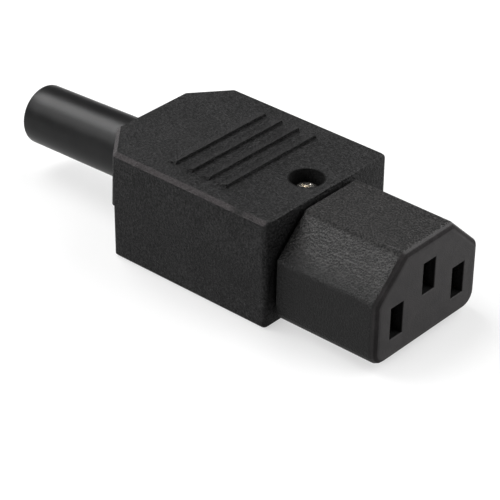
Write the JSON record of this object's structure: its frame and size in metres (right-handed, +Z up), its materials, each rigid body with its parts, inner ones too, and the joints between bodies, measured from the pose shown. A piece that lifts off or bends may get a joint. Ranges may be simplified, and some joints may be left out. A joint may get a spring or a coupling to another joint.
{
  "type": "c13 power connector",
  "caption": "Rewireable C13 power connector with a split body, a nose with sprung pin sockets, screw terminals, a cord clamp and a soft cord sleeve.",
  "frame": {"origin": "on the flat underside, below the middle of the overall length and width", "axes": "+X from the cord sleeve to the nose's end face, +Z up through the screwed top face, +Y across, towards the neutral socket"},
  "size_m": [0.0764, 0.0274, 0.0183],
  "materials": {
    "shell_plastic": "finely frosted black nylon, slightly worn along its edges",
    "carrier_plastic": "coarse spark-grained dark charcoal plastic with a smoother end face",
    "sleeve_pvc": "smooth, softly glossy black flexible plastic",
    "contact_brass": "bright rolled brass",
    "spring_steel": "bare spring steel",
    "screw_steel": "zinc-plated steel"
  },
  "bodies": {
    "root": {"lower_shell": "shell_plastic", "upper_shell": "shell_plastic", "contact_carrier": "carrier_plastic", "line_contact": "contact_brass", "neutral_contact": "contact_brass", "earth_contact": "contact_brass", "line_spring": "spring_steel", "neutral_spring": "spring_steel", "earth_spring": "spring_steel", "line_terminal": "contact_brass", "neutral_terminal": "contact_brass", "earth_terminal": "contact_brass", "terminal_screws": "screw_steel", "terminal_rivets": "contact_brass", "case_insert": "contact_brass", "case_screw": "screw_steel", "clamp_saddle": "carrier_plastic", "cord_clamp": "carrier_plastic", "clamp_screws": "screw_steel", "cord_sleeve": "sleeve_pvc"}
  },
  "joints": []
}
